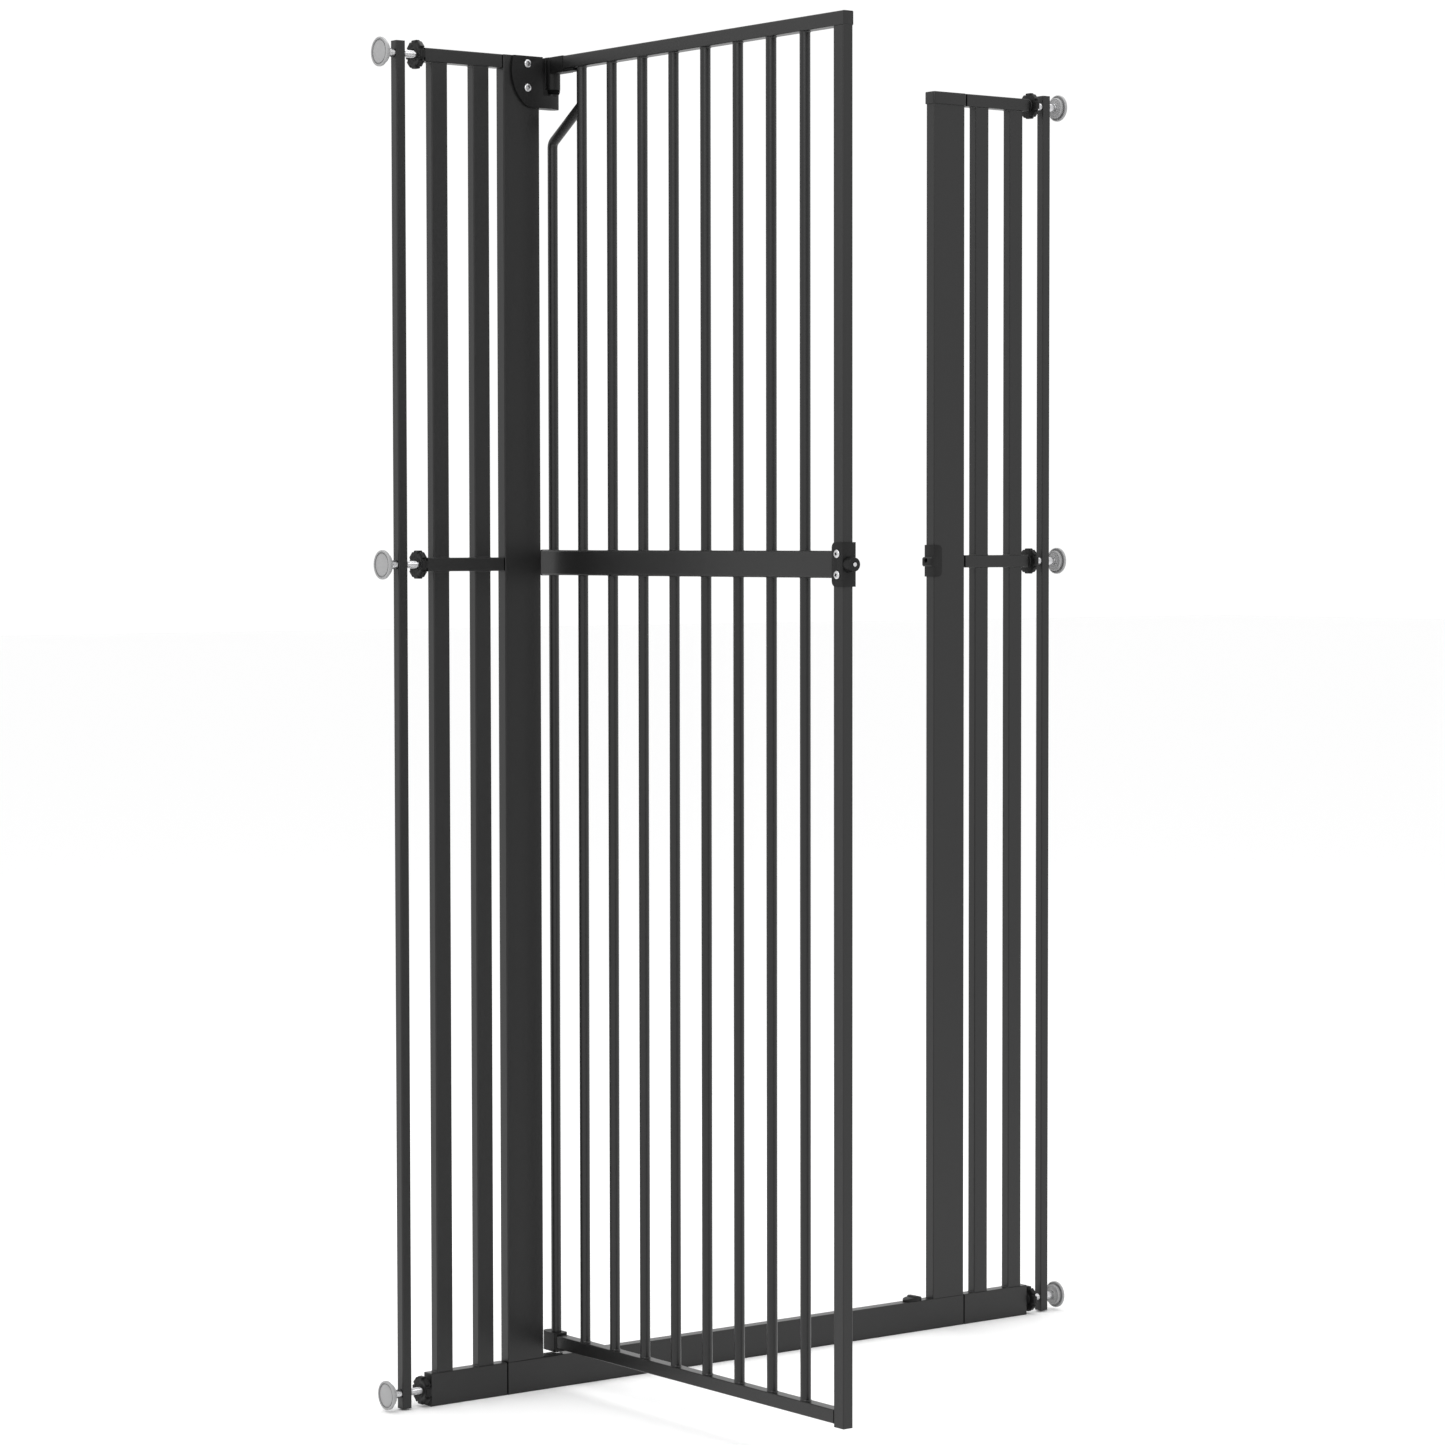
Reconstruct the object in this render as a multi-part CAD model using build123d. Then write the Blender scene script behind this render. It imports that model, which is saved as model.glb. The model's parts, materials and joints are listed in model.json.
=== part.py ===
from build123d import *
import os

# Tall pressure-mounted pet gate, in millimetres.
# X runs along the wall-to-wall width, with 0 at the middle of the main frame.
# Y runs through the doorway, with 0 at the middle of the tubes; the open door stands towards -Y.
# Z is up from the floor. The right-hand side is +X.

# Main frame
FRAME_WIDTH = 810.0
FRAME_HEIGHT = 1800.0
TUBE_DEPTH = 18.0
POST_WIDTH = 58.0
THRESHOLD_HEIGHT = 44.5
WALL = 1.2
CORNER = 1.5
FIT = 0.1

# Extension panels, one at each side of the main frame
EXTENSION_REACH = 124.0
RAIL_HEIGHT = 18.0
MID_RAIL_Z = 1121.6
FLAT_BAR_WIDTH = 25.0
FLAT_BAR_DEPTH = 15.0
FLAT_BAR_OFFSETS = (35.0, 101.0)
PLUG_LENGTH = 10.0
JOINER_LENGTH = 18.0
SPIGOT_LENGTH = 10.0
SPIGOT_RADIUS = 4.0
JOINT_GASKET = 2.4
GASKET_INSET = 0.8

# Wall clamps: threaded spindle, star knob, wall cup, and the upright wall bar between them
SPINDLE_RADIUS = 4.9
SPINDLE_LENGTH = 127.0
SPINDLE_INSET = 67.0
KNOB_RADIUS = 19.5
KNOB_THICKNESS = 8.2
KNOB_NECK_RADIUS = 9.0
KNOB_NECK_LENGTH = 5.0
KNOB_LOBES = 8
SCALLOP_RADIUS = 4.6
WALL_BAR_SIZE = 14.0
WALL_BAR_GAP = 30.0
WALL_BAR_BOTTOM = 2.0
WALL_BAR_TOP = 1807.0
CUP_RADIUS = 19.3
CUP_START = 48.0
CUP_LENGTH = 19.0
RUNNING_GAP = 0.3

# Door, standing open at a right angle to the frame
HINGE_INSET = 27.5
DOOR_THICKNESS = 16.4
DOOR_RAIL_HEIGHT = 17.7
DOOR_TOP = 1800.9
DOOR_BOTTOM_RAIL_Z = 62.8
BAR_DIAMETER = 13.6
BAR_PITCH = 68.17
BAR_COUNT = 9
END_POST_START = 610.5
END_POST_WIDTH = 19.6
END_POST_THICKNESS = 15.4
END_POST_BOTTOM = 50.0
STRIP_HEIGHT = 33.8
STRIP_THICKNESS = 18.0
STRIP_TAIL = 17.8
BEND_Z = 1687.0
BEND_RISE = 46.0
BEND_RADIUS = 11.0

# Hinges
SLEEVE_RADIUS = 10.75
SLEEVE_BOTTOM = 1758.2
ELBOW_REACH = 36.0
TONGUE_REACH = 58.0
SHELF_BOTTOM = 1732.0
SHELF_TOP = 1749.0
SHELF_RADIUS = 8.6
PLATE_THICKNESS = 3.5
FLANGE_THICKNESS = 3.3
RECESS_DEPTH = 9.5
RECESS_WIDTH = 14.0
STEP_TOP = 1757.9
PIN_RADIUS = 4.0
PIN_TOP = 1776.0
BUSH_RADIUS = 6.0
SHOE_BOTTOM = 49.5
SHOE_TOP = 75.0
SHOE_REACH = 13.0
SHOE_TAIL = 23.0
SHOE_HALF = 10.4
PIVOT_RADIUS = 4.5
FOOTPLATE_THICKNESS = 1.5

# Latch
LATCH_Z = 1123.3
HOUSING_HEIGHT = 55.0
HOUSING_HALF = 10.5
HOUSING_END = 632.0
BARREL_LENGTH = 11.3
BOLT_RADIUS = 2.75
BOLT_PROUD = 1.0
BOLT_INNER_END = 578.0
BOLT_TRAVEL = 18.0
THUMB_Y = 585.0
RECEIVER_PLATE = 2.7
NOSE_REACH = 5.3
SCREW_HEAD_RADIUS = 5.35
SCREW_SHANK_RADIUS = 2.0
STOP_X = 313.8
STOP_HALF_LENGTH = 16.4
STOP_HEIGHT = 7.4

# Derived places
HALF_WIDTH = FRAME_WIDTH / 2
HALF_DEPTH = TUBE_DEPTH / 2
INNER_FACE = HALF_WIDTH - POST_WIDTH
POST_CENTRE = HALF_WIDTH - POST_WIDTH / 2
EXTENSION_END = HALF_WIDTH + EXTENSION_REACH
TOP_RAIL_Z = FRAME_HEIGHT - RAIL_HEIGHT / 2
BOTTOM_RAIL_Z = THRESHOLD_HEIGHT / 2
CLAMP_HEIGHTS = {"top": TOP_RAIL_Z, "middle": MID_RAIL_Z, "bottom": BOTTOM_RAIL_Z}
CLAMP_RAIL_HEIGHTS = {"top": RAIL_HEIGHT, "middle": RAIL_HEIGHT, "bottom": THRESHOLD_HEIGHT}
WALL_BAR_X = EXTENSION_END + WALL_BAR_GAP + WALL_BAR_SIZE / 2
HINGE_X = -(INNER_FACE - HINGE_INSET)
DOOR_TOP_RAIL_Z = DOOR_TOP - DOOR_RAIL_HEIGHT / 2
DOOR_BARS_TOP = DOOR_TOP - DOOR_RAIL_HEIGHT
DOOR_BARS_BOTTOM = DOOR_BOTTOM_RAIL_Z + DOOR_RAIL_HEIGHT / 2
END_POST_Y = -(END_POST_START + END_POST_WIDTH / 2)
END_POST_OUTER = END_POST_START + END_POST_WIDTH


def save(name, *solids):
    shape = solids[0] if len(solids) == 1 else Compound(children=list(solids))
    export_step(shape, f"parts/{name}.step")


def upright(x, y, z):
    return Plane(origin=(x, y, z), x_dir=(1, 0, 0), z_dir=(0, 0, 1))


def along_x(x, y, z):
    return Plane(origin=(x, y, z), x_dir=(0, 1, 0), z_dir=(1, 0, 0))


def along_door(x, y, z):
    return Plane(origin=(x, y, z), x_dir=(1, 0, 0), z_dir=(0, -1, 0))


def tube(plane, across, up, length, corner=CORNER):
    outer = RectangleRounded(across, up, corner)
    inner = RectangleRounded(across - 2 * WALL, up - 2 * WALL, corner - WALL)
    return extrude(plane * (outer - inner), amount=length)


def plug(plane, across, up, length, corner=CORNER):
    inside = RectangleRounded(across - 2 * (WALL + FIT), up - 2 * (WALL + FIT), corner - WALL)
    return extrude(plane * inside, amount=length)


def rod(plane, radius, length):
    return extrude(plane * Circle(radius), amount=length)


def block(x0, x1, y0, y1, z0, z1):
    middle = ((x0 + x1) / 2, (y0 + y1) / 2, (z0 + z1) / 2)
    return Pos(*middle) * Box(abs(x1 - x0), abs(y1 - y0), abs(z1 - z0))


def sided(shape, side):
    return shape if side > 0 else mirror(shape, about=Plane.YZ)


def screw(plane, length):
    head = plane * Pos(0, 0, 0.6) * Cylinder(SCREW_HEAD_RADIUS, 1.2)
    dome = plane * Pos(0, 0, 1.7) * Cone(SCREW_HEAD_RADIUS, 0.7 * SCREW_HEAD_RADIUS, 1.0)
    shank = plane * Pos(0, 0, -length / 2) * Cylinder(SCREW_SHANK_RADIUS, length)
    return head + dome + shank


# Main frame: two posts standing on a full-width threshold

def post(side):
    top = FRAME_HEIGHT if side < 0 else FRAME_HEIGHT - 2.1
    body = tube(upright(POST_CENTRE, 0, THRESHOLD_HEIGHT), POST_WIDTH, TUBE_DEPTH, top - THRESHOLD_HEIGHT)
    for z in (TOP_RAIL_Z, MID_RAIL_Z):
        body -= rod(along_x(HALF_WIDTH - 5, 0, z), SPIGOT_RADIUS + FIT, 10)
    body = sided(body, side)
    if side < 0:
        for x, z in hinge_screw_places():
            body -= rod(along_door(x, -HALF_DEPTH + 3, z), SCREW_SHANK_RADIUS + FIT, 6)
    else:
        body -= rod(along_x(INNER_FACE - 2, 0, LATCH_Z), BOLT_RADIUS + 0.6, 6)
    return body


def threshold():
    body = tube(along_x(-HALF_WIDTH, 0, BOTTOM_RAIL_Z), TUBE_DEPTH, THRESHOLD_HEIGHT, FRAME_WIDTH)
    return body - rod(upright(HINGE_X, 0, THRESHOLD_HEIGHT - 5), PIVOT_RADIUS + FIT, 10)


def left_post_plug():
    return plug(upright(-POST_CENTRE, 0, FRAME_HEIGHT - 4), POST_WIDTH, TUBE_DEPTH, 4)


def right_post_cap():
    skirt = 17.4
    proud = 2.0
    outline = RectangleRounded(POST_WIDTH + 2 * proud, TUBE_DEPTH + 2 * proud, CORNER + proud)
    inside = RectangleRounded(POST_WIDTH + 2 * FIT, TUBE_DEPTH + 2 * FIT, CORNER + FIT)
    body = extrude(upright(POST_CENTRE, 0, FRAME_HEIGHT - skirt) * outline, amount=skirt)
    body = fillet(body.faces().sort_by(Axis.Z)[-1].edges(), 1.2)
    body -= extrude(upright(POST_CENTRE, 0, FRAME_HEIGHT - skirt) * inside, amount=skirt - proud)
    return body - rod(along_x(HALF_WIDTH - 1, 0, TOP_RAIL_Z), SPIGOT_RADIUS + FIT, 6)


# Extension panels

def rail_start(side, level):
    capped = side > 0 and level == "top"
    return HALF_WIDTH + JOINT_GASKET + (2.2 if capped else 0.0)


def extension_rail(side, level):
    height = CLAMP_RAIL_HEIGHTS[level]
    start = rail_start(side, level)
    body = tube(along_x(start, 0, CLAMP_HEIGHTS[level]), TUBE_DEPTH, height, EXTENSION_END - start)
    if level == "middle":
        for offset in FLAT_BAR_OFFSETS:
            middle = HALF_WIDTH + offset
            half = FLAT_BAR_WIDTH / 2 + FIT
            depth = FLAT_BAR_DEPTH / 2 + FIT
            body -= block(middle - half, middle + half, -depth, depth, MID_RAIL_Z - 12, MID_RAIL_Z + 12)
    return sided(body, side)


def extension_bar(side, offset):
    top = FRAME_HEIGHT - RAIL_HEIGHT
    plane = upright(HALF_WIDTH + offset, 0, THRESHOLD_HEIGHT)
    body = tube(plane, FLAT_BAR_WIDTH, FLAT_BAR_DEPTH, top - THRESHOLD_HEIGHT)
    body -= rod(along_x(HALF_WIDTH + offset - 20, 0, MID_RAIL_Z), SPINDLE_RADIUS + 1, 40)
    return sided(body, side)


def joiner(side, level):
    start = rail_start(side, level)
    height = CLAMP_RAIL_HEIGHTS[level]
    spigot_plane = along_x(HALF_WIDTH - SPIGOT_LENGTH, 0, CLAMP_HEIGHTS[level])
    spigot_length = start - HALF_WIDTH + SPIGOT_LENGTH
    body = plug(along_x(start, 0, CLAMP_HEIGHTS[level]), TUBE_DEPTH, height, JOINER_LENGTH)
    gasket = RectangleRounded(TUBE_DEPTH - 2 * GASKET_INSET, height - 2 * GASKET_INSET, CORNER - GASKET_INSET)
    body += extrude(along_x(start - JOINT_GASKET, 0, CLAMP_HEIGHTS[level]) * gasket, amount=JOINT_GASKET)
    if level == "bottom":
        body += plug(spigot_plane, TUBE_DEPTH, height, spigot_length)
    else:
        body += rod(spigot_plane, SPIGOT_RADIUS, spigot_length)
    return sided(body, side)


def thread_plug(side, level):
    height = CLAMP_RAIL_HEIGHTS[level]
    plane = along_x(EXTENSION_END - PLUG_LENGTH, 0, CLAMP_HEIGHTS[level])
    body = plug(plane, TUBE_DEPTH, height, PLUG_LENGTH)
    return sided(body - rod(plane, SPINDLE_RADIUS + FIT, PLUG_LENGTH), side)


# Wall clamps

def spindle(side, level):
    start = EXTENSION_END - SPINDLE_INSET
    return sided(rod(along_x(start, 0, CLAMP_HEIGHTS[level]), SPINDLE_RADIUS, SPINDLE_LENGTH), side)


def knob(side, level):
    outline = Circle(KNOB_RADIUS) - PolarLocations(KNOB_RADIUS + 2.3, KNOB_LOBES) * Circle(SCALLOP_RADIUS)
    start = EXTENSION_END + RUNNING_GAP
    neck_plane = along_x(start, 0, CLAMP_HEIGHTS[level])
    star_plane = along_x(start + KNOB_NECK_LENGTH, 0, CLAMP_HEIGHTS[level])
    body = rod(neck_plane, KNOB_NECK_RADIUS, KNOB_NECK_LENGTH)
    body += extrude(star_plane * outline, amount=KNOB_THICKNESS)
    return sided(body - rod(neck_plane, SPINDLE_RADIUS + FIT, KNOB_NECK_LENGTH + KNOB_THICKNESS), side)


def wall_cup(side, level):
    hub_end = 9.0
    rim_start = 14.0
    dish = 0.7
    outline = Polyline(
        (0, 0),
        (7.0, 0),
        (8.0, hub_end),
        (CUP_RADIUS - 1.5, rim_start - 1.5),
        (CUP_RADIUS, rim_start),
        (CUP_RADIUS, CUP_LENGTH),
        (CUP_RADIUS - 3.5, CUP_LENGTH),
        (CUP_RADIUS - 4.5, CUP_LENGTH - dish),
        (0, CUP_LENGTH - dish),
        close=True,
    )
    body = revolve(Plane.XZ * make_face(outline), axis=Axis.Z)
    body -= rod(Plane.XY, SPINDLE_RADIUS + FIT, SPINDLE_LENGTH - SPINDLE_INSET - CUP_START)
    return sided(along_x(EXTENSION_END + CUP_START, 0, CLAMP_HEIGHTS[level]) * body, side)


def wall_bar(side):
    length = WALL_BAR_TOP - WALL_BAR_BOTTOM
    body = tube(upright(WALL_BAR_X, 0, WALL_BAR_BOTTOM), WALL_BAR_SIZE, WALL_BAR_SIZE, length)
    for z in CLAMP_HEIGHTS.values():
        body -= rod(along_x(WALL_BAR_X - 10, 0, z), SPINDLE_RADIUS + RUNNING_GAP, 20)
    return sided(body, side)


def wall_bar_plug(side, z):
    return sided(plug(upright(WALL_BAR_X, 0, z), WALL_BAR_SIZE, WALL_BAR_SIZE, 6), side)


# Hinges: a bracket and pin at the top, a footplate and pivot at the bottom

def hinge_screw_places():
    return [(-368.6, 1789.8), (-368.6, 1757.6)]


def top_hinge_bracket():
    edge_x = -INNER_FACE + FLANGE_THICKNESS
    front = -(HALF_DEPTH + PLATE_THICKNESS)
    shoulder = (-374.6, 1737.0)
    foot = (-362.0, SHELF_BOTTOM)
    sweep_in = ThreePointArc((-390.5, FRAME_HEIGHT), (-393.3, 1773.0), shoulder)
    round_off = TangentArc(sweep_in @ 1, foot, tangent=sweep_in % 1)
    base = Polyline(foot, (edge_x, SHELF_BOTTOM), (edge_x, FRAME_HEIGHT), (-390.5, FRAME_HEIGHT))
    face = make_face(Curve() + [sweep_in, round_off, base])
    plate = extrude(Plane(origin=(0, -HALF_DEPTH, 0), x_dir=(1, 0, 0), z_dir=(0, -1, 0)) * face,
                    amount=PLATE_THICKNESS)
    flange = block(-INNER_FACE, edge_x, front, HALF_DEPTH - 1, SHELF_BOTTOM, FRAME_HEIGHT)
    recess = front + RECESS_DEPTH
    flange += block(-INNER_FACE, -INNER_FACE + RECESS_WIDTH, recess, HALF_DEPTH - 1,
                    SHELF_TOP - 1, FRAME_HEIGHT)
    nose_x = -330.5
    slab = Pos((nose_x - INNER_FACE) / 2, (front + SHELF_RADIUS) / 2)
    slab *= Rectangle(nose_x + INNER_FACE, SHELF_RADIUS - front)
    boss = Pos(HINGE_X, 0) * Circle(SHELF_RADIUS)
    shelf = extrude(upright(0, 0, SHELF_BOTTOM) * make_hull(slab.edges() + boss.edges()),
                    amount=SHELF_TOP - SHELF_BOTTOM)
    web = Pos((HINGE_X - INNER_FACE) / 2, (SHELF_RADIUS + recess) / 2)
    web *= Rectangle(HINGE_X + INNER_FACE, SHELF_RADIUS - recess)
    step = extrude(upright(0, 0, SHELF_TOP) * (web + boss), amount=STEP_TOP - SHELF_TOP)
    body = plate + flange + shelf + step
    body -= rod(upright(HINGE_X, 0, SHELF_BOTTOM + 3), PIN_RADIUS, SHELF_TOP)
    for x, z in hinge_screw_places():
        body -= rod(along_door(x, 0, z), SCREW_SHANK_RADIUS + FIT, 20)
    return body


def top_hinge_pin():
    return rod(upright(HINGE_X, 0, SHELF_BOTTOM + 3), PIN_RADIUS, PIN_TOP - SHELF_BOTTOM - 3)


def hinge_bush():
    plane = upright(HINGE_X, 0, SLEEVE_BOTTOM + 0.4)
    ring = Circle(BUSH_RADIUS) - Circle(PIN_RADIUS + FIT)
    return extrude(plane * ring, amount=19.4)


def hinge_screws():
    front = -(HALF_DEPTH + PLATE_THICKNESS)
    return [screw(along_door(x, front, z), 12) for x, z in hinge_screw_places()]


def bottom_hinge_plate():
    half = HALF_DEPTH - 0.5
    slab = Pos((HINGE_X - INNER_FACE) / 2, 0) * Rectangle(HINGE_X + INNER_FACE, 2 * half)
    outline = slab + Pos(HINGE_X, 0) * Circle(half)
    body = extrude(upright(0, 0, THRESHOLD_HEIGHT) * outline, amount=FOOTPLATE_THICKNESS)
    return body - rod(upright(HINGE_X, 0, THRESHOLD_HEIGHT - 1), PIVOT_RADIUS + FIT, 10)


def bottom_hinge_pin():
    stem = rod(upright(HINGE_X, 0, THRESHOLD_HEIGHT - 6), PIVOT_RADIUS, 27)
    collar_top = SHOE_BOTTOM - RUNNING_GAP
    collar_bottom = THRESHOLD_HEIGHT + FOOTPLATE_THICKNESS
    return stem + rod(upright(HINGE_X, 0, collar_bottom), PIVOT_RADIUS + 1.0, collar_top - collar_bottom)


def door_elbow():
    plan = Circle(SLEEVE_RADIUS) + Pos(0, -ELBOW_REACH / 2) * Rectangle(2 * 8.8, ELBOW_REACH)
    bottom = DOOR_BARS_TOP - 3.7
    body = extrude(upright(HINGE_X, 0, bottom) * plan, amount=DOOR_TOP + 0.4 - bottom)
    body += rod(upright(HINGE_X, 0, SLEEVE_BOTTOM), SLEEVE_RADIUS, DOOR_TOP - SLEEVE_BOTTOM)
    body += block(HINGE_X - 6.6, HINGE_X + 6.6, -ELBOW_REACH, -TONGUE_REACH, bottom, DOOR_BARS_TOP - FIT)
    body += plug(along_door(HINGE_X, -ELBOW_REACH, DOOR_TOP_RAIL_Z), DOOR_THICKNESS, DOOR_RAIL_HEIGHT,
                 TONGUE_REACH - ELBOW_REACH)
    return body - rod(upright(HINGE_X, 0, SLEEVE_BOTTOM - 1), BUSH_RADIUS + FIT, 21.2)


def door_shoe():
    tail = SHOE_TAIL - SHOE_HALF
    plan = Pos(0, tail) * Circle(SHOE_HALF)
    plan += Pos(0, (tail - SHOE_REACH) / 2) * Rectangle(2 * SHOE_HALF, tail + SHOE_REACH)
    body = extrude(upright(HINGE_X, 0, SHOE_BOTTOM) * plan, amount=SHOE_TOP - SHOE_BOTTOM)
    body = fillet(body.edges().filter_by(Axis.Z).group_by(Axis.Y)[0], 4.0)
    rail = Rectangle(DOOR_THICKNESS + 2 * FIT, DOOR_RAIL_HEIGHT + 2 * FIT)
    body -= extrude(along_door(HINGE_X, 14.2, DOOR_BOTTOM_RAIL_Z) * rail, amount=60)
    body -= rod(upright(HINGE_X, 0, SHOE_BOTTOM - 1), PIVOT_RADIUS + FIT, 10)
    return body - rod(upright(HINGE_X, 0, DOOR_BOTTOM_RAIL_Z), BAR_DIAMETER / 2 + FIT, 30)


# Door leaf

def door_top_rail():
    plane = along_door(HINGE_X, -ELBOW_REACH, DOOR_TOP_RAIL_Z)
    return tube(plane, DOOR_THICKNESS, DOOR_RAIL_HEIGHT, END_POST_OUTER - ELBOW_REACH)


def door_bottom_rail():
    plane = along_door(HINGE_X, 14, DOOR_BOTTOM_RAIL_Z)
    body = tube(plane, DOOR_THICKNESS, DOOR_RAIL_HEIGHT, END_POST_START + 14)
    return body - rod(upright(HINGE_X, 0, SHOE_BOTTOM), PIVOT_RADIUS + 0.5, 10)


def door_end_post():
    plane = upright(HINGE_X, END_POST_Y, END_POST_BOTTOM)
    body = tube(plane, END_POST_THICKNESS, END_POST_WIDTH, DOOR_BARS_TOP - END_POST_BOTTOM)
    body -= rod(along_door(HINGE_X, END_POST_Y + 20, LATCH_Z), BOLT_RADIUS + 0.6, 40)
    for y, z in latch_screw_places():
        body -= rod(along_x(HINGE_X - 10, y, z), SCREW_SHANK_RADIUS + FIT, 6)
    return body


def door_end_plugs():
    foot = plug(upright(HINGE_X, END_POST_Y, END_POST_BOTTOM), END_POST_THICKNESS, END_POST_WIDTH, 8)
    end = plug(along_door(HINGE_X, -END_POST_OUTER + 8, DOOR_TOP_RAIL_Z), DOOR_THICKNESS, DOOR_RAIL_HEIGHT, 8)
    return [foot, end]


def bar_ring():
    return Circle(BAR_DIAMETER / 2) - Circle(BAR_DIAMETER / 2 - WALL)


def straight_bar(index):
    plane = upright(HINGE_X, -index * BAR_PITCH, DOOR_BARS_BOTTOM)
    return extrude(plane * bar_ring(), amount=DOOR_BARS_TOP - DOOR_BARS_BOTTOM)


def bent_bar():
    path = FilletPolyline(
        (HINGE_X, 0, DOOR_BARS_BOTTOM),
        (HINGE_X, 0, BEND_Z),
        (HINGE_X, -BAR_PITCH, BEND_Z + BEND_RISE),
        radius=BEND_RADIUS,
    )
    body = sweep(upright(HINGE_X, 0, DOOR_BARS_BOTTOM) * bar_ring(), path=path)
    return body - rod(upright(HINGE_X, -BAR_PITCH, BEND_Z), BAR_DIAMETER / 2 + 0.05, 100)


def mid_strip():
    plane = along_door(HINGE_X, STRIP_TAIL, LATCH_Z)
    body = tube(plane, STRIP_THICKNESS, STRIP_HEIGHT, END_POST_START + STRIP_TAIL, 3.0)
    for index in range(BAR_COUNT):
        body -= rod(upright(HINGE_X, -index * BAR_PITCH, LATCH_Z - 30), BAR_DIAMETER / 2 + FIT, 60)
    slot_start = THUMB_Y - 6
    slot_end = THUMB_Y + BOLT_TRAVEL + 6
    return body - block(HINGE_X + 5, HINGE_X + 12, -slot_end, -slot_start, LATCH_Z - 3.4, LATCH_Z + 3.4)


def mid_strip_cap():
    lip = extrude(along_door(HINGE_X, STRIP_TAIL + 2.2, LATCH_Z)
                  * RectangleRounded(STRIP_THICKNESS + 0.6, STRIP_HEIGHT + 1.4, 3.2), amount=2.2)
    return lip + plug(along_door(HINGE_X, STRIP_TAIL, LATCH_Z), STRIP_THICKNESS, STRIP_HEIGHT, 8, 3.0)


# Latch: housing, barrel, sliding bolt and thumb slide on the door; receiver and stop clip on the frame

def latch_screw_places():
    return [(-621.2, LATCH_Z + 13.05), (-621.2, LATCH_Z - 13.05)]


def latch_housing():
    start = END_POST_START + 0.1
    middle = -(start + HOUSING_END) / 2
    body = Pos(HINGE_X, middle, LATCH_Z) * Box(2 * HOUSING_HALF, HOUSING_END - start, HOUSING_HEIGHT)
    corners = body.edges().filter_by(Axis.X).group_by(Axis.Y)[-1]
    body = fillet(corners, 7.0)
    half = END_POST_THICKNESS / 2 + FIT
    body -= block(HINGE_X - half, HINGE_X + half, -start + 1, -END_POST_OUTER - FIT,
                  LATCH_Z - HOUSING_HEIGHT, LATCH_Z + HOUSING_HEIGHT)
    body -= rod(along_door(HINGE_X, -END_POST_OUTER, LATCH_Z), BOLT_RADIUS + 0.6, 10)
    for y, z in latch_screw_places():
        body -= rod(along_x(HINGE_X - 20, y, z), SCREW_SHANK_RADIUS + FIT, 16)
    return body


def latch_screws():
    return [screw(Plane(origin=(HINGE_X - HOUSING_HALF, y, z), x_dir=(0, 1, 0), z_dir=(-1, 0, 0)), 8)
            for y, z in latch_screw_places()]


def latch_barrel():
    plane = along_door(HINGE_X, -HOUSING_END - BARREL_LENGTH / 2, LATCH_Z)
    return plane * (Cone(10.0, 8.5, BARREL_LENGTH) - Cylinder(BOLT_RADIUS + FIT, BARREL_LENGTH))


def latch_bolt():
    length = HOUSING_END + BARREL_LENGTH + BOLT_PROUD - BOLT_INNER_END
    body = rod(along_door(HINGE_X, -BOLT_INNER_END, LATCH_Z), BOLT_RADIUS, length)
    return chamfer(body.faces().sort_by(Axis.Y)[0].edges(), 0.5)


def thumb_slide():
    body = block(HINGE_X - 4.5, HINGE_X + 7.0, -THUMB_Y - 4, -THUMB_Y + 4, LATCH_Z - 4.5, LATCH_Z + 4.5)
    body += block(HINGE_X + 7.0, HINGE_X + 10, -THUMB_Y - 4, -THUMB_Y + 4, LATCH_Z - 3, LATCH_Z + 3)
    face = STRIP_THICKNESS / 2 + RUNNING_GAP
    pad = block(HINGE_X + face, HINGE_X + face + 4.5, -THUMB_Y - 6.5, -THUMB_Y + 6.5,
                LATCH_Z - 9, LATCH_Z + 9)
    pad = fillet(pad.edges().filter_by(Axis.X), 2.5)
    body += pad
    return body - rod(along_door(HINGE_X, -THUMB_Y + 5, LATCH_Z), BOLT_RADIUS + 0.02, 10)


def latch_receiver():
    bottom = LATCH_Z - 23.5
    top = LATCH_Z + 22.5
    face = INNER_FACE - RECEIVER_PLATE
    front = -(HALF_DEPTH + RECEIVER_PLATE)
    wrap = block(face, INNER_FACE + 13, front, -HALF_DEPTH, bottom, top)
    wrap = fillet(wrap.edges().filter_by(Axis.Y).group_by(Axis.X)[-1], 7.0)
    body = wrap + block(face, INNER_FACE, front, HALF_DEPTH, bottom, top)
    nose = block(face - NOSE_REACH, INNER_FACE + 4, front - 0.6, HALF_DEPTH - 1, LATCH_Z - 8.8, LATCH_Z + 4.8)
    nose = chamfer(nose.edges().filter_by(Axis.Y).group_by(Axis.X)[0], 2.0)
    body += nose - block(INNER_FACE, INNER_FACE + 6, -HALF_DEPTH, HALF_DEPTH, bottom, top)
    return body - rod(along_x(face - NOSE_REACH - 1, 0, LATCH_Z), BOLT_RADIUS + 0.6, 20)


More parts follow.
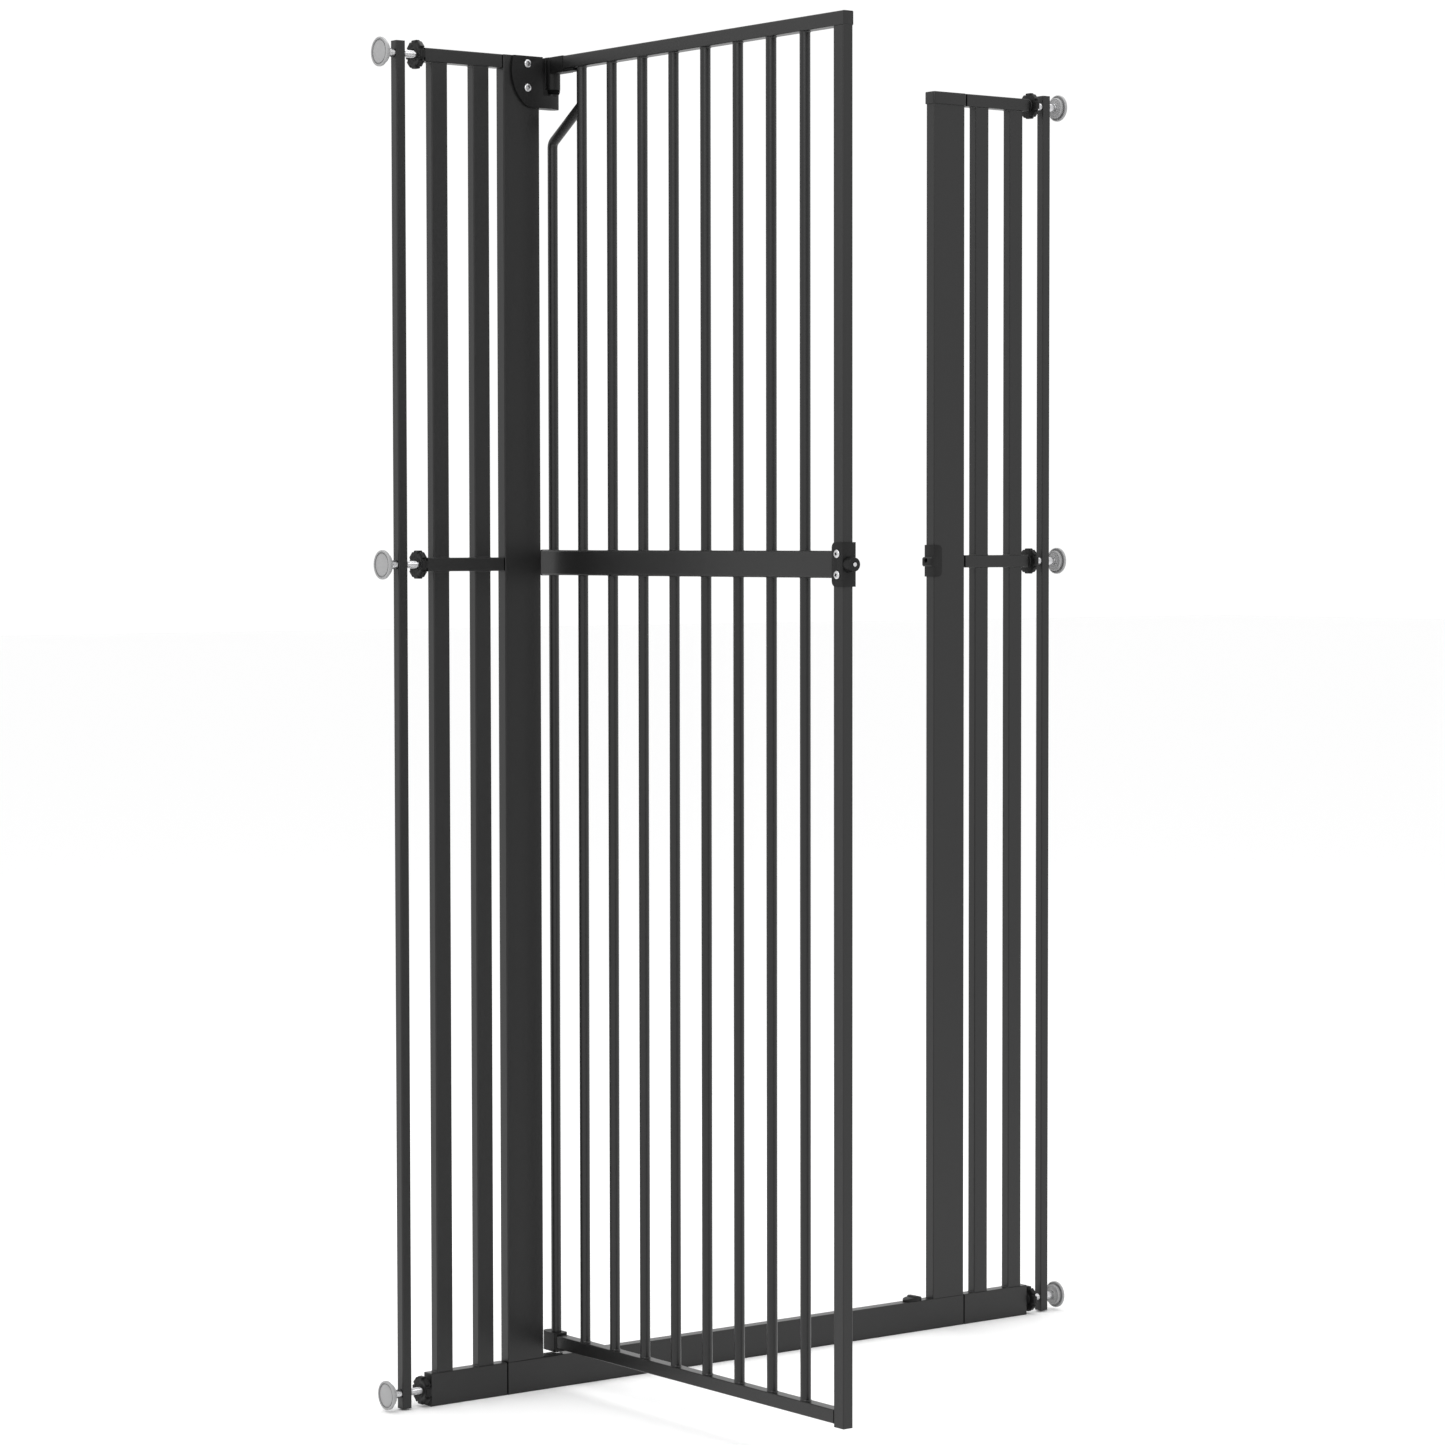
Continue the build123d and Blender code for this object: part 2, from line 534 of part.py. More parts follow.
def stop_clip():
    base = THRESHOLD_HEIGHT
    landing = END_POST_BOTTOM - RUNNING_GAP
    side_view = Polyline(
        (STOP_X - STOP_HALF_LENGTH, base),
        (STOP_X - STOP_HALF_LENGTH, base + 2.6),
        (STOP_X - 11, base + 4.4),
        (STOP_X - 5, landing),
        (STOP_X - 2.2, landing),
        (STOP_X - 1, base + STOP_HEIGHT),
        (STOP_X + 4, base + STOP_HEIGHT),
        (STOP_X + 11, base + 5.8),
        (STOP_X + STOP_HALF_LENGTH, base + 2.6),
        (STOP_X + STOP_HALF_LENGTH, base),
        close=True,
    )
    dome = extrude(along_door(0, HALF_DEPTH, 0) * make_face(side_view), amount=TUBE_DEPTH)
    plan = Pos(STOP_X, 0, base) * extrude(Ellipse(STOP_HALF_LENGTH, HALF_DEPTH), amount=STOP_HEIGHT)
    return dome & plan


def main():
    os.makedirs("parts", exist_ok=True)
    sides = {"left": -1, "right": 1}

    save("threshold", threshold())
    save("left_post_plug", left_post_plug())
    save("right_post_cap", right_post_cap())
    for name, side in sides.items():
        save(f"{name}_post", post(side))
        for level in CLAMP_HEIGHTS:
            save(f"{name}_extension_{level}_rail", extension_rail(side, level))
            save(f"{name}_{level}_spindle", spindle(side, level))
            save(f"{name}_{level}_knob", knob(side, level))
            save(f"{name}_{level}_wall_cup", wall_cup(side, level))
        save(f"{name}_extension_bars", *[extension_bar(side, offset) for offset in FLAT_BAR_OFFSETS])
        save(f"{name}_wall_bar", wall_bar(side))
        save(f"{name}_wall_bar_plugs", *[wall_bar_plug(side, z) for z in (WALL_BAR_BOTTOM, WALL_BAR_TOP - 6)])
    places = [(side, level) for side in sides.values() for level in CLAMP_HEIGHTS]
    save("extension_joiners", *[joiner(side, level) for side, level in places])
    save("extension_thread_plugs", *[thread_plug(side, level) for side, level in places])

    save("top_hinge_bracket", top_hinge_bracket())
    save("top_hinge_pin", top_hinge_pin())
    save("top_hinge_screws", *hinge_screws())
    save("hinge_bush", hinge_bush())
    save("bottom_hinge_plate", bottom_hinge_plate())
    save("bottom_hinge_pin", bottom_hinge_pin())

    save("door_top_rail", door_top_rail())
    save("door_bottom_rail", door_bottom_rail())
    save("door_end_post", door_end_post())
    save("door_end_plugs", *door_end_plugs())
    save("door_bent_bar", bent_bar())
    save("door_bars", *[straight_bar(index) for index in range(1, BAR_COUNT)])
    save("door_mid_strip", mid_strip())
    save("door_mid_strip_cap", mid_strip_cap())
    save("door_hinge_elbow", door_elbow())
    save("door_bottom_shoe", door_shoe())

    save("latch_housing", latch_housing())
    save("latch_housing_screws", *latch_screws())
    save("latch_barrel", latch_barrel())
    save("latch_bolt", latch_bolt())
    save("latch_thumb_slide", thumb_slide())
    save("latch_receiver", latch_receiver())
    save("stop_clip", stop_clip())


main()
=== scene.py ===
import json
import math

import bmesh
import bpy
from mathutils import Matrix, Vector


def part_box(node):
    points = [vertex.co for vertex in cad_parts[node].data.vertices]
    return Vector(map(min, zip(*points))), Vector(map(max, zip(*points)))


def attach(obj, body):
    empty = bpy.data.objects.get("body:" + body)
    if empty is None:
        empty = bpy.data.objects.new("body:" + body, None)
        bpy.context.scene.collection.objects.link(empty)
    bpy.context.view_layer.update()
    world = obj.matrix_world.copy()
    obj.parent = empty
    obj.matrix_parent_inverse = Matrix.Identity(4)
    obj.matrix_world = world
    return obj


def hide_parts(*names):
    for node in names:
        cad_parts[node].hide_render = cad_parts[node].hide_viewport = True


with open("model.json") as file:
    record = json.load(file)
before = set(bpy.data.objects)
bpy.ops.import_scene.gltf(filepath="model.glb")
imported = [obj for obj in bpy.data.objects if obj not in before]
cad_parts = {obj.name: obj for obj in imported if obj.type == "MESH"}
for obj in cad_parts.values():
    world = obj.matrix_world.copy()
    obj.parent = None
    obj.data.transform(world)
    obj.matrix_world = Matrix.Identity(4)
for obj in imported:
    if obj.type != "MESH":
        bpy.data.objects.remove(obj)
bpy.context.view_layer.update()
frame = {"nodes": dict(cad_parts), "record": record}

MM = 0.001
SIDES = {"left": -1, "right": 1}
LEVELS = ("top", "middle", "bottom")

# Powder coat, plastics and plating
COAT_COLOUR = (0.0085, 0.0085, 0.0085)
PLASTIC_COLOUR = (0.0042, 0.0042, 0.0042)
# Near-black rubber: painted shade, for the shadow in the joiner seams and under the hinge sleeve
PAINTED_SHADE_RUBBER_COLOUR = (0.0012, 0.0012, 0.0012)
CUP_COLOUR = (0.30, 0.30, 0.303)
BUSH_COLOUR = (0.55, 0.54, 0.50)
ZINC_COLOUR = (0.60, 0.60, 0.61)
FLOOR_COLOUR = (0.95, 0.95, 0.95)

# Wall clamps. Heights along a clamp are measured outwards from the end of its extension rail
THREAD_PITCH = 1.5 * MM
THREAD_DEPTH = 0.55 * MM
THREAD_START = -8 * MM
SPINDLE_RADIUS = 4.9 * MM
FERRULE_RADIUS = 5.8 * MM
CUP_RADIUS = 19.3 * MM
CUP_THICKNESS = 4.0 * MM
DRUM_RADIUS = 14.9 * MM
DRUM_DEPTH = 9.0 * MM
KNOB_RADIUS = 19.5 * MM
KNOB_NECK_RADIUS = 9.0 * MM
KNOB_NECK_LENGTH = 5.0 * MM
KNOB_LOBES = 8
LOBE_HALF_ANGLE = math.radians(14.5)
LOBE_SLOPE_ANGLE = math.radians(3.5)
NOTCH_DEPTH = 0.155

# Screws
SCREW_RADIUS = 5.35 * MM
SCREW_HEIGHT = 2.2 * MM
SHANK_RADIUS = 1.95 * MM
SHANK_LENGTH = 8 * MM
CROSS_DEPTH = 3.0 * MM

# Cross recesses: half the width of an arm, and how far it reaches from the middle
HINGE_CROSS = (1.35 * MM, 3.0 * MM)
LATCH_CROSS = (0.9 * MM, 2.3 * MM)

# Door and extension bars, and the weld beads at their ends
STRAIGHT_DOOR_BARS = 8
FLAT_BAR_WIDTH = 25.0 * MM
FLAT_BAR_CORNER = 1.5 * MM
ROUND_BAR_BEAD = 1.5 * MM
FLAT_BAR_BEAD = 1.2 * MM
STRIP_BEAD = 1.0 * MM

# Mouldings
EDGE_ROUNDING = 0.5 * MM
SHARP_EDGE_ANGLE = math.radians(28.0)


# Camera

def add_camera():
    place = Vector((-3.50670, -4.54209, 1.15535))
    yaw = 0.91786
    pitch = -0.044889
    roll = -0.001461
    forward = Vector((math.cos(yaw) * math.cos(pitch), math.sin(yaw) * math.cos(pitch), math.sin(pitch)))
    level_right = Vector((math.sin(yaw), -math.cos(yaw), 0.0))
    level_up = level_right.cross(forward)
    right = math.cos(roll) * level_right + math.sin(roll) * level_up
    up = math.cos(roll) * level_up - math.sin(roll) * level_right
    data = bpy.data.cameras.new("camera")
    data.sensor_width = 36.0
    data.lens = 102.01
    camera = bpy.data.objects.new("camera", data)
    camera.matrix_world = Matrix((right, up, -forward)).transposed().to_4x4()
    camera.location = place
    bpy.context.scene.collection.objects.link(camera)
    bpy.context.scene.camera = camera


# Materials

def new_material(name):
    material = bpy.data.materials.new(name)
    material.use_nodes = True
    nodes = material.node_tree.nodes
    return material, nodes, material.node_tree.links, nodes["Principled BSDF"]


def noise(nodes, links, scale, detail, roughness=0.5):
    coordinates = nodes.new("ShaderNodeTexCoord")
    texture = nodes.new("ShaderNodeTexNoise")
    texture.inputs["Scale"].default_value = scale
    texture.inputs["Detail"].default_value = detail
    texture.inputs["Roughness"].default_value = roughness
    links.new(coordinates.outputs["Object"], texture.inputs["Vector"])
    return texture.outputs["Fac"]


def spread(nodes, links, source, low, high):
    ramp = nodes.new("ShaderNodeMapRange")
    ramp.inputs["From Min"].default_value = 0.3
    ramp.inputs["From Max"].default_value = 0.7
    ramp.inputs["To Min"].default_value = low
    ramp.inputs["To Max"].default_value = high
    links.new(source, ramp.inputs["Value"])
    return ramp.outputs["Result"]


def tint(nodes, links, source, colour, amount):
    mix = nodes.new("ShaderNodeMix")
    mix.data_type = "RGBA"
    mix.inputs["A"].default_value = (*[channel * (1 - amount) for channel in colour], 1)
    mix.inputs["B"].default_value = (*[channel * (1 + amount) for channel in colour], 1)
    links.new(source, mix.inputs["Factor"])
    return mix.outputs["Result"]


def bump(nodes, links, height, strength, distance, base=None):
    node = nodes.new("ShaderNodeBump")
    node.inputs["Strength"].default_value = strength
    node.inputs["Distance"].default_value = distance
    links.new(height, node.inputs["Height"])
    if base is not None:
        links.new(base, node.inputs["Normal"])
    return node.outputs["Normal"]


def painted_crevice_shade(nodes, links, colour, distance, darkest):
    """Painted shade: darkens the colour in grooves and sockets, where the surface closes in on itself, by
    ambient occlusion.
    """
    closed = nodes.new("ShaderNodeAmbientOcclusion")
    closed.samples = 8
    closed.inputs["Distance"].default_value = distance
    ramp = nodes.new("ShaderNodeMapRange")
    ramp.inputs["From Min"].default_value = 0.25
    ramp.inputs["From Max"].default_value = 0.85
    ramp.inputs["To Min"].default_value = darkest
    ramp.inputs["To Max"].default_value = 1.0
    links.new(closed.outputs["AO"], ramp.inputs["Value"])
    scale = nodes.new("ShaderNodeVectorMath")
    scale.operation = "SCALE"
    links.new(colour, scale.inputs[0])
    links.new(ramp.outputs["Result"], scale.inputs["Scale"])
    return scale.outputs["Vector"]


def powder_coat():
    material, nodes, links, shader = new_material("charcoal_powder_coat")
    cloud = noise(nodes, links, 9.0, 3.0)
    speck = noise(nodes, links, 1400.0, 2.0)
    peel = noise(nodes, links, 420.0, 3.0, 0.6)
    links.new(tint(nodes, links, cloud, COAT_COLOUR, 0.10), shader.inputs["Base Color"])
    links.new(spread(nodes, links, speck, 0.29, 0.37), shader.inputs["Roughness"])
    rough = bump(nodes, links, peel, 0.22, 0.0004)
    links.new(bump(nodes, links, speck, 0.10, 0.0001, rough), shader.inputs["Normal"])
    shader.inputs["Specular IOR Level"].default_value = 0.41
    return material


def moulded_plastic():
    material, nodes, links, shader = new_material("black_moulded_plastic")
    cloud = noise(nodes, links, 25.0, 2.0)
    spark = noise(nodes, links, 1900.0, 2.0, 0.7)
    links.new(tint(nodes, links, cloud, PLASTIC_COLOUR, 0.14), shader.inputs["Base Color"])
    links.new(spread(nodes, links, spark, 0.42, 0.54), shader.inputs["Roughness"])
    links.new(bump(nodes, links, spark, 0.35, 0.00012), shader.inputs["Normal"])
    shader.inputs["Specular IOR Level"].default_value = 0.24
    return material


# Painted shade: a near-black rubber for the joiner gaskets and the hinge washer, standing in for the shadow
# in the seams and under the sleeve
def make_painted_shade_rubber():
    material, nodes, links, shader = new_material("black_painted_shade_rubber")
    grain = noise(nodes, links, 900.0, 2.0)
    links.new(tint(nodes, links, grain, PAINTED_SHADE_RUBBER_COLOUR, 0.2), shader.inputs["Base Color"])
    links.new(spread(nodes, links, grain, 0.70, 0.85), shader.inputs["Roughness"])
    shader.inputs["Specular IOR Level"].default_value = 0.06
    return material


def cup_plastic():
    material, nodes, links, shader = new_material("grey_translucent_plastic")
    flow = noise(nodes, links, 70.0, 3.0)
    grain = noise(nodes, links, 1200.0, 2.0)
    # Painted shade: the grey darkens in the cup's groove and round its drum
    colour = painted_crevice_shade(nodes, links, tint(nodes, links, flow, CUP_COLOUR, 0.06), 3.5 * MM, 0.35)
    links.new(colour, shader.inputs["Base Color"])
    links.new(spread(nodes, links, grain, 0.34, 0.44), shader.inputs["Roughness"])
    links.new(bump(nodes, links, grain, 0.15, 0.0001), shader.inputs["Normal"])
    shader.inputs["Subsurface Weight"].default_value = 0.08
    shader.inputs["Subsurface Radius"].default_value = (0.002, 0.002, 0.002)
    return material


def bush_plastic():
    material, nodes, links, shader = new_material("natural_bush_plastic")
    grain = noise(nodes, links, 900.0, 2.0)
    links.new(tint(nodes, links, grain, BUSH_COLOUR, 0.05), shader.inputs["Base Color"])
    links.new(spread(nodes, links, grain, 0.40, 0.50), shader.inputs["Roughness"])
    return material


def zinc_plate():
    material, nodes, links, shader = new_material("bright_zinc_plate")
    patch = noise(nodes, links, 260.0, 3.0)
    scratch = noise(nodes, links, 2600.0, 3.0, 0.7)
    # Painted shade: the zinc darkens in the screw recesses and between the thread turns
    colour = painted_crevice_shade(nodes, links, tint(nodes, links, patch, ZINC_COLOUR, 0.07), 2.0 * MM, 0.12)
    links.new(colour, shader.inputs["Base Color"])
    links.new(spread(nodes, links, scratch, 0.22, 0.36), shader.inputs["Roughness"])
    links.new(bump(nodes, links, scratch, 0.12, 0.00008), shader.inputs["Normal"])
    shader.inputs["Metallic"].default_value = 1.0
    return material


MATERIALS = {
    "black_coat": powder_coat(),
    "black_plastic": moulded_plastic(),
    "grey_plastic": cup_plastic(),
    "bush_plastic": bush_plastic(),
    "zinc_steel": zinc_plate(),
}
PAINTED_SHADE_RUBBER = make_painted_shade_rubber()


def dress_cad_nodes():
    slots = {entry["node"]: entry["material_slot"] for entry in frame["record"]["subparts"]}
    for name, node in frame["nodes"].items():
        node.data.materials.clear()
        node.data.materials.append(MATERIALS[slots[name]])
    # Only the joiners' gaskets show, as dark lines in the seams; their near-black rubber is painted shade,
    # standing in for the shadow in the seams
    frame["nodes"]["extension_joiners"].data.materials[0] = PAINTED_SHADE_RUBBER


# Mesh helpers

def finish_piece(name, mesh, slot, body, replaced=(), smooth_angle=32.0):
    for polygon in mesh.polygons:
        polygon.use_smooth = True
    mesh.set_sharp_from_angle(angle=math.radians(smooth_angle))
    piece = bpy.data.objects.new(name, mesh)
    bpy.context.scene.collection.objects.link(piece)
    mesh.materials.clear()
    mesh.materials.append(MATERIALS[slot])
    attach(piece, body)
    if replaced:
        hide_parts(*replaced)
    return piece


def to_mesh(name, shape):
    bmesh.ops.remove_doubles(shape, verts=shape.verts, dist=1e-7)
    bmesh.ops.recalc_face_normals(shape, faces=shape.faces)
    mesh = bpy.data.meshes.new(name)
    shape.to_mesh(mesh)
    shape.free()
    return mesh


def axis_frame(origin, outward):
    """A matrix whose local Z points along outward and whose origin is the given point."""
    rotation = Vector((0, 0, 1)).rotation_difference(Vector(outward))
    return Matrix.Translation(origin) @ rotation.to_matrix().to_4x4()


def add_lathe(shape, profile, matrix, segments=64):
    """Turns (radius, height) points about local Z. A radius of 0 closes the end."""
    rings = []
    for radius, height in profile:
        if radius == 0:
            rings.append([shape.verts.new(matrix @ Vector((0, 0, height)))])
            continue
        ring = []
        for step in range(segments):
            angle = 2 * math.pi * step / segments
            point = Vector((radius * math.cos(angle), radius * math.sin(angle), height))
            ring.append(shape.verts.new(matrix @ point))
        rings.append(ring)
    join_rings(shape, rings)
    return rings


def join_rings(shape, rings):
    for lower, upper in zip(rings, rings[1:]):
        count = max(len(lower), len(upper))
        for step in range(count):
            after = (step + 1) % count
            if len(lower) == 1:
                shape.faces.new((lower[0], upper[step], upper[after]))
            elif len(upper) == 1:
                shape.faces.new((lower[step], lower[after], upper[0]))
            else:
                shape.faces.new((lower[step], lower[after], upper[after], upper[step]))


def arc(radius, centre, start, end, steps):
    points = []
    for step in range(steps + 1):
        angle = math.radians(start + (end - start) * step / steps)
        points.append((centre[0] + radius * math.cos(angle), centre[1] + radius * math.sin(angle)))
    return points


def add_moulding(node, slot, body):
    """The node's shape again, with its flats merged and its edges rounded."""
    shape = bmesh.new()
    shape.from_mesh(frame["nodes"][node].data)
    bmesh.ops.remove_doubles(shape, verts=shape.verts, dist=2e-6)
    bmesh.ops.dissolve_limit(shape, angle_limit=math.radians(0.6), verts=shape.verts, edges=shape.edges)
    edges = [edge for edge in shape.edges if len(edge.link_faces) == 2
             and edge.calc_face_angle(0.0) > SHARP_EDGE_ANGLE]
    bmesh.ops.bevel(shape, geom=edges, offset=EDGE_ROUNDING, segments=3, profile=0.5, affect="EDGES",
                    clamp_overlap=True, harden_normals=False)
    finish_piece(f"{node}_moulding", to_mesh(node, shape), slot, body, (node,))


# Wall clamps

def rail_end(side):
    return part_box(f"{side}_extension_middle_rail")[1 if side == "right" else 0].x


def clamp_matrix(side, level):
    low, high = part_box(f"{side}_{level}_spindle")
    return axis_frame(Vector((rail_end(side), 0, (low.z + high.z) / 2)), (SIDES[side], 0, 0))


def reach_of(node, side):
    """Where the node starts and ends, measured outwards from the end of the extension rail."""
    low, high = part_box(node)
    start = rail_end(side)
    return sorted(((low.x - start) * SIDES[side], (high.x - start) * SIDES[side]))


def add_spindle(side, level):
    node = f"{side}_{level}_spindle"
    start, end = reach_of(node, side)
    matrix = clamp_matrix(side, level)
    root = SPINDLE_RADIUS - THREAD_DEPTH
    shape = bmesh.new()
    add_lathe(shape, [(0, start), (root, start), (root, THREAD_START)], matrix, 32)
    add_thread(shape, matrix, THREAD_START, end - 2 * MM)
    finish_piece(f"{side}_{level}_threaded_spindle", to_mesh("spindle", shape), "zinc_steel",
                 f"{side}_{level}_clamp", (node,), smooth_angle=50.0)


def add_thread(shape, matrix, start, end):
    """A helical thread: rings of points whose radius follows the wave, a little further on in each ring."""
    around = 28
    wave = (0.0, 0.15, 0.75, 1.0, 0.75, 0.15)
    per_turn = len(wave)
    rows = int((end - start) / THREAD_PITCH * per_turn)
    rings = []
    for row in range(rows + 1):
        height = start + row * THREAD_PITCH / per_turn
        ring = []
        for step in range(around):
            turn = step / around
            phase = (row / per_turn - turn) % 1.0 * per_turn
            low = int(phase) % per_turn
            blend = phase - int(phase)
            lift = wave[low] * (1 - blend) + wave[(low + 1) % per_turn] * blend
            radius = SPINDLE_RADIUS - THREAD_DEPTH * (1 - lift)
            angle = 2 * math.pi * turn
            point = Vector((radius * math.cos(angle), radius * math.sin(angle), height))
            ring.append(shape.verts.new(matrix @ point))
        rings.append(ring)
    join_rings(shape, rings)
    shape.faces.new(rings[0])
    shape.faces.new(rings[-1])


def lobe_scale(angle, weight):
    """1 at a lobe's flat end and less in a notch; weight fades the notches out towards the middle."""
    pitch = 2 * math.pi / KNOB_LOBES
    away = abs((angle + pitch / 2) % pitch - pitch / 2)
    step = min(1.0, max(0.0, (away - LOBE_HALF_ANGLE) / LOBE_SLOPE_ANGLE))
    flat = math.cos(LOBE_HALF_ANGLE) / math.cos(min(away, LOBE_HALF_ANGLE))
    return 1.0 - weight * (1.0 - flat + NOTCH_DEPTH * step * step * (3 - 2 * step))


def add_knob(side, level):
    """A star knob: a plain neck on the rail side, and eight lobes round a stepped outer face."""
    node = f"{side}_{level}_knob"
    start, end = reach_of(node, side)
    matrix = clamp_matrix(side, level)
    bore = SPINDLE_RADIUS + 0.12 * MM
    neck = KNOB_NECK_RADIUS
    back = start + KNOB_NECK_LENGTH
    rim = KNOB_RADIUS - 0.2 * MM
    profile = [
        (bore, start, 0.0),
        (neck - 0.6 * MM, start, 0.0),
        (neck, start + 0.6 * MM, 0.0),
        (neck, back - 0.8 * MM, 0.0),
        (neck + 0.8 * MM, back, 0.0),
        (13 * MM, back + 0.1 * MM, 0.4),
        (rim - 1.6 * MM, back + 0.2 * MM, 1.0),
        (rim - 0.5 * MM, back + 0.7 * MM, 1.0),
        (rim, back + 1.7 * MM, 1.0),
        (rim, end - 2.0 * MM, 1.0),
        (rim - 0.35 * MM, end - 1.0 * MM, 1.0),
        (rim - 1.2 * MM, end - 0.35 * MM, 1.0),
        (rim - 2.4 * MM, end - 0.15 * MM, 0.95),
        (13.5 * MM, end - 0.2 * MM, 0.6),
        (11.2 * MM, end - 0.8 * MM, 0.2),
        (9.6 * MM, end - 1.0 * MM, 0.0),
        (8.6 * MM, end - 0.8 * MM, 0.0),
        (8.0 * MM, end, 0.0),
        (7.0 * MM, end, 0.0),
        (6.6 * MM, end - 0.3 * MM, 0.0),
        (6.4 * MM, end - 1.6 * MM, 0.0),
        (bore, end - 1.8 * MM, 0.0),
        (bore, start, 0.0),
    ]
    shape = bmesh.new()
    around = 240
    rings = []
    for radius, height, weight in profile:
        ring = []
        for step in range(around):
            angle = 2 * math.pi * step / around
            reach = radius * lobe_scale(angle, weight)
            point = Vector((reach * math.cos(angle), reach * math.sin(angle), height))
            ring.append(shape.verts.new(matrix @ point))
        rings.append(ring)
    join_rings(shape, rings)
    finish_piece(f"{side}_{level}_star_knob", to_mesh(node, shape), "black_plastic",
                 f"{side}_{level}_adjuster", (node,), smooth_angle=38.0)


def add_cup(side, level):
    """A round wall dish, with the spindle's drum-shaped foot standing in it."""
    node = f"{side}_{level}_wall_cup"
    end = reach_of(node, side)[1]
    matrix = clamp_matrix(side, level)
    rim = end - CUP_THICKNESS
    groove = end - 2.6 * MM
    drum = end - DRUM_DEPTH
    dish = [(0, end - 0.7 * MM), (14.2 * MM, end - 0.7 * MM), (14.7 * MM, end - 0.9 * MM)]
    dish += [(15.0 * MM, end - 1.7 * MM), (16.3 * MM, end - 1.7 * MM), (16.7 * MM, end - 0.5 * MM)]
    dish += arc(0.5 * MM, (17.2 * MM, end - 0.5 * MM), 150, 90, 3)
    dish += arc(1.0 * MM, (CUP_RADIUS - 1.0 * MM, end - 1.0 * MM), 90, 0, 5)
    dish += arc(0.8 * MM, (CUP_RADIUS - 0.8 * MM, rim + 0.8 * MM), 0, -90, 4)
    dish += arc(0.4 * MM, (17.8 * MM, rim + 0.4 * MM), -90, -170, 3)
    dish += [(17.3 * MM, groove)]
    foot = [(DRUM_RADIUS - 0.2 * MM, groove), (DRUM_RADIUS, drum + 1.0 * MM)]
    foot += arc(1.0 * MM, (DRUM_RADIUS - 1.0 * MM, drum + 1.0 * MM), 0, -90, 5)
    foot += [(12.9 * MM, drum), (12.6 * MM, drum + 0.4 * MM), (11.9 * MM, drum + 0.4 * MM)]
    foot += [(11.6 * MM, drum), (8.0 * MM, drum), (7.7 * MM, drum - 0.7 * MM)]
    foot += [(7.3 * MM, drum - 1.0 * MM), (SPINDLE_RADIUS, drum - 1.0 * MM)]
    foot += [(SPINDLE_RADIUS, drum + 2.0 * MM)]
    shape = bmesh.new()
    add_lathe(shape, dish + foot + [(0, drum + 2.0 * MM)], matrix, 96)
    finish_piece(f"{side}_{level}_dished_cup", to_mesh(node, shape), "grey_plastic",
                 f"{side}_{level}_clamp", (node,), smooth_angle=35.0)


def add_ferrule(side, level):
    """The plain sleeve on the spindle between the wall bar and the cup."""
    start = reach_of(f"{side}_wall_bar", side)[1] + 0.4 * MM
    end = reach_of(f"{side}_{level}_wall_cup", side)[1] - DRUM_DEPTH - 0.6 * MM
    bore = SPINDLE_RADIUS + 0.05 * MM
    groove = FERRULE_RADIUS - 0.5 * MM
    profile = [(bore, start), (groove, start)]
    profile += arc(0.5 * MM, (groove, start + 0.5 * MM), -90, 0, 3)
    profile += [(FERRULE_RADIUS, end - 2.4 * MM), (groove, end - 2.0 * MM)]
    profile += [(groove, end - 1.4 * MM), (FERRULE_RADIUS, end - 1.0 * MM)]
    profile += [(FERRULE_RADIUS, end), (bore, end), (bore, start)]
    shape = bmesh.new()
    add_lathe(shape, profile, clamp_matrix(side, level), 48)
    finish_piece(f"{side}_{level}_spindle_ferrule", to_mesh("ferrule", shape), "zinc_steel",
                 f"{side}_{level}_clamp")


# Screws

def add_screw_head(shape, matrix, arm, reach):
    """A pan head that stands on local Z = 0, with a cross recess."""
    corners = [(arm, arm), (arm, reach), (-arm, reach), (-arm, arm), (-reach, arm), (-reach, -arm),
               (-arm, -arm), (-arm, -reach), (arm, -reach), (arm, -arm), (reach, -arm), (reach, arm)]
    top = SCREW_HEIGHT
    lip = [shape.verts.new(matrix @ Vector((x, y, top))) for x, y in corners]
    pit = [shape.verts.new(matrix @ Vector((x * 0.85, y * 0.85, top - CROSS_DEPTH))) for x, y in corners]
    flat = 0.62 * SCREW_RADIUS
    profile = [(flat, top), (0.74 * SCREW_RADIUS, top - 0.12 * MM), (0.88 * SCREW_RADIUS, top - 0.45 * MM),
               (0.97 * SCREW_RADIUS, top - 0.95 * MM), (SCREW_RADIUS, top - 1.4 * MM), (SCREW_RADIUS, 0)]
    rings = add_lathe(shape, profile, matrix, 48)
    join_rings(shape, [lip, pit])
    shape.faces.new(pit)
    shape.faces.new(rings[-1])
    loops = []
    for ring in (lip, rings[0]):
        for first, second in zip(ring, ring[1:] + ring[:1]):
            loops.append(shape.edges.get((first, second)))
    bmesh.ops.triangle_fill(shape, use_beauty=True, edges=loops)


def add_screws(name, node, outward, body, cross):
    """Both screws of the node, which face -X or -Y: its box gives their places."""
    low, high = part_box(node)
    shape = bmesh.new()
    for z in (low.z + SCREW_RADIUS, high.z - SCREW_RADIUS):
        seat = Vector(((low.x + high.x) / 2, (low.y + high.y) / 2, z))
        if outward[0] < 0:
            seat.x = low.x + SCREW_HEIGHT
        else:
            seat.y = low.y + SCREW_HEIGHT
        stopped_at = math.radians(23 + 900 * z)
        matrix = axis_frame(seat, outward) @ Matrix.Rotation(stopped_at, 4, "Z")
        add_screw_head(shape, matrix, *cross)
        shank = [(0, -SHANK_LENGTH), (SHANK_RADIUS, -SHANK_LENGTH), (SHANK_RADIUS, -1.0 * MM), (0, -1.0 * MM)]
        add_lathe(shape, shank, matrix, 24)
    finish_piece(name, to_mesh(name, shape), "zinc_steel", body, (node,))
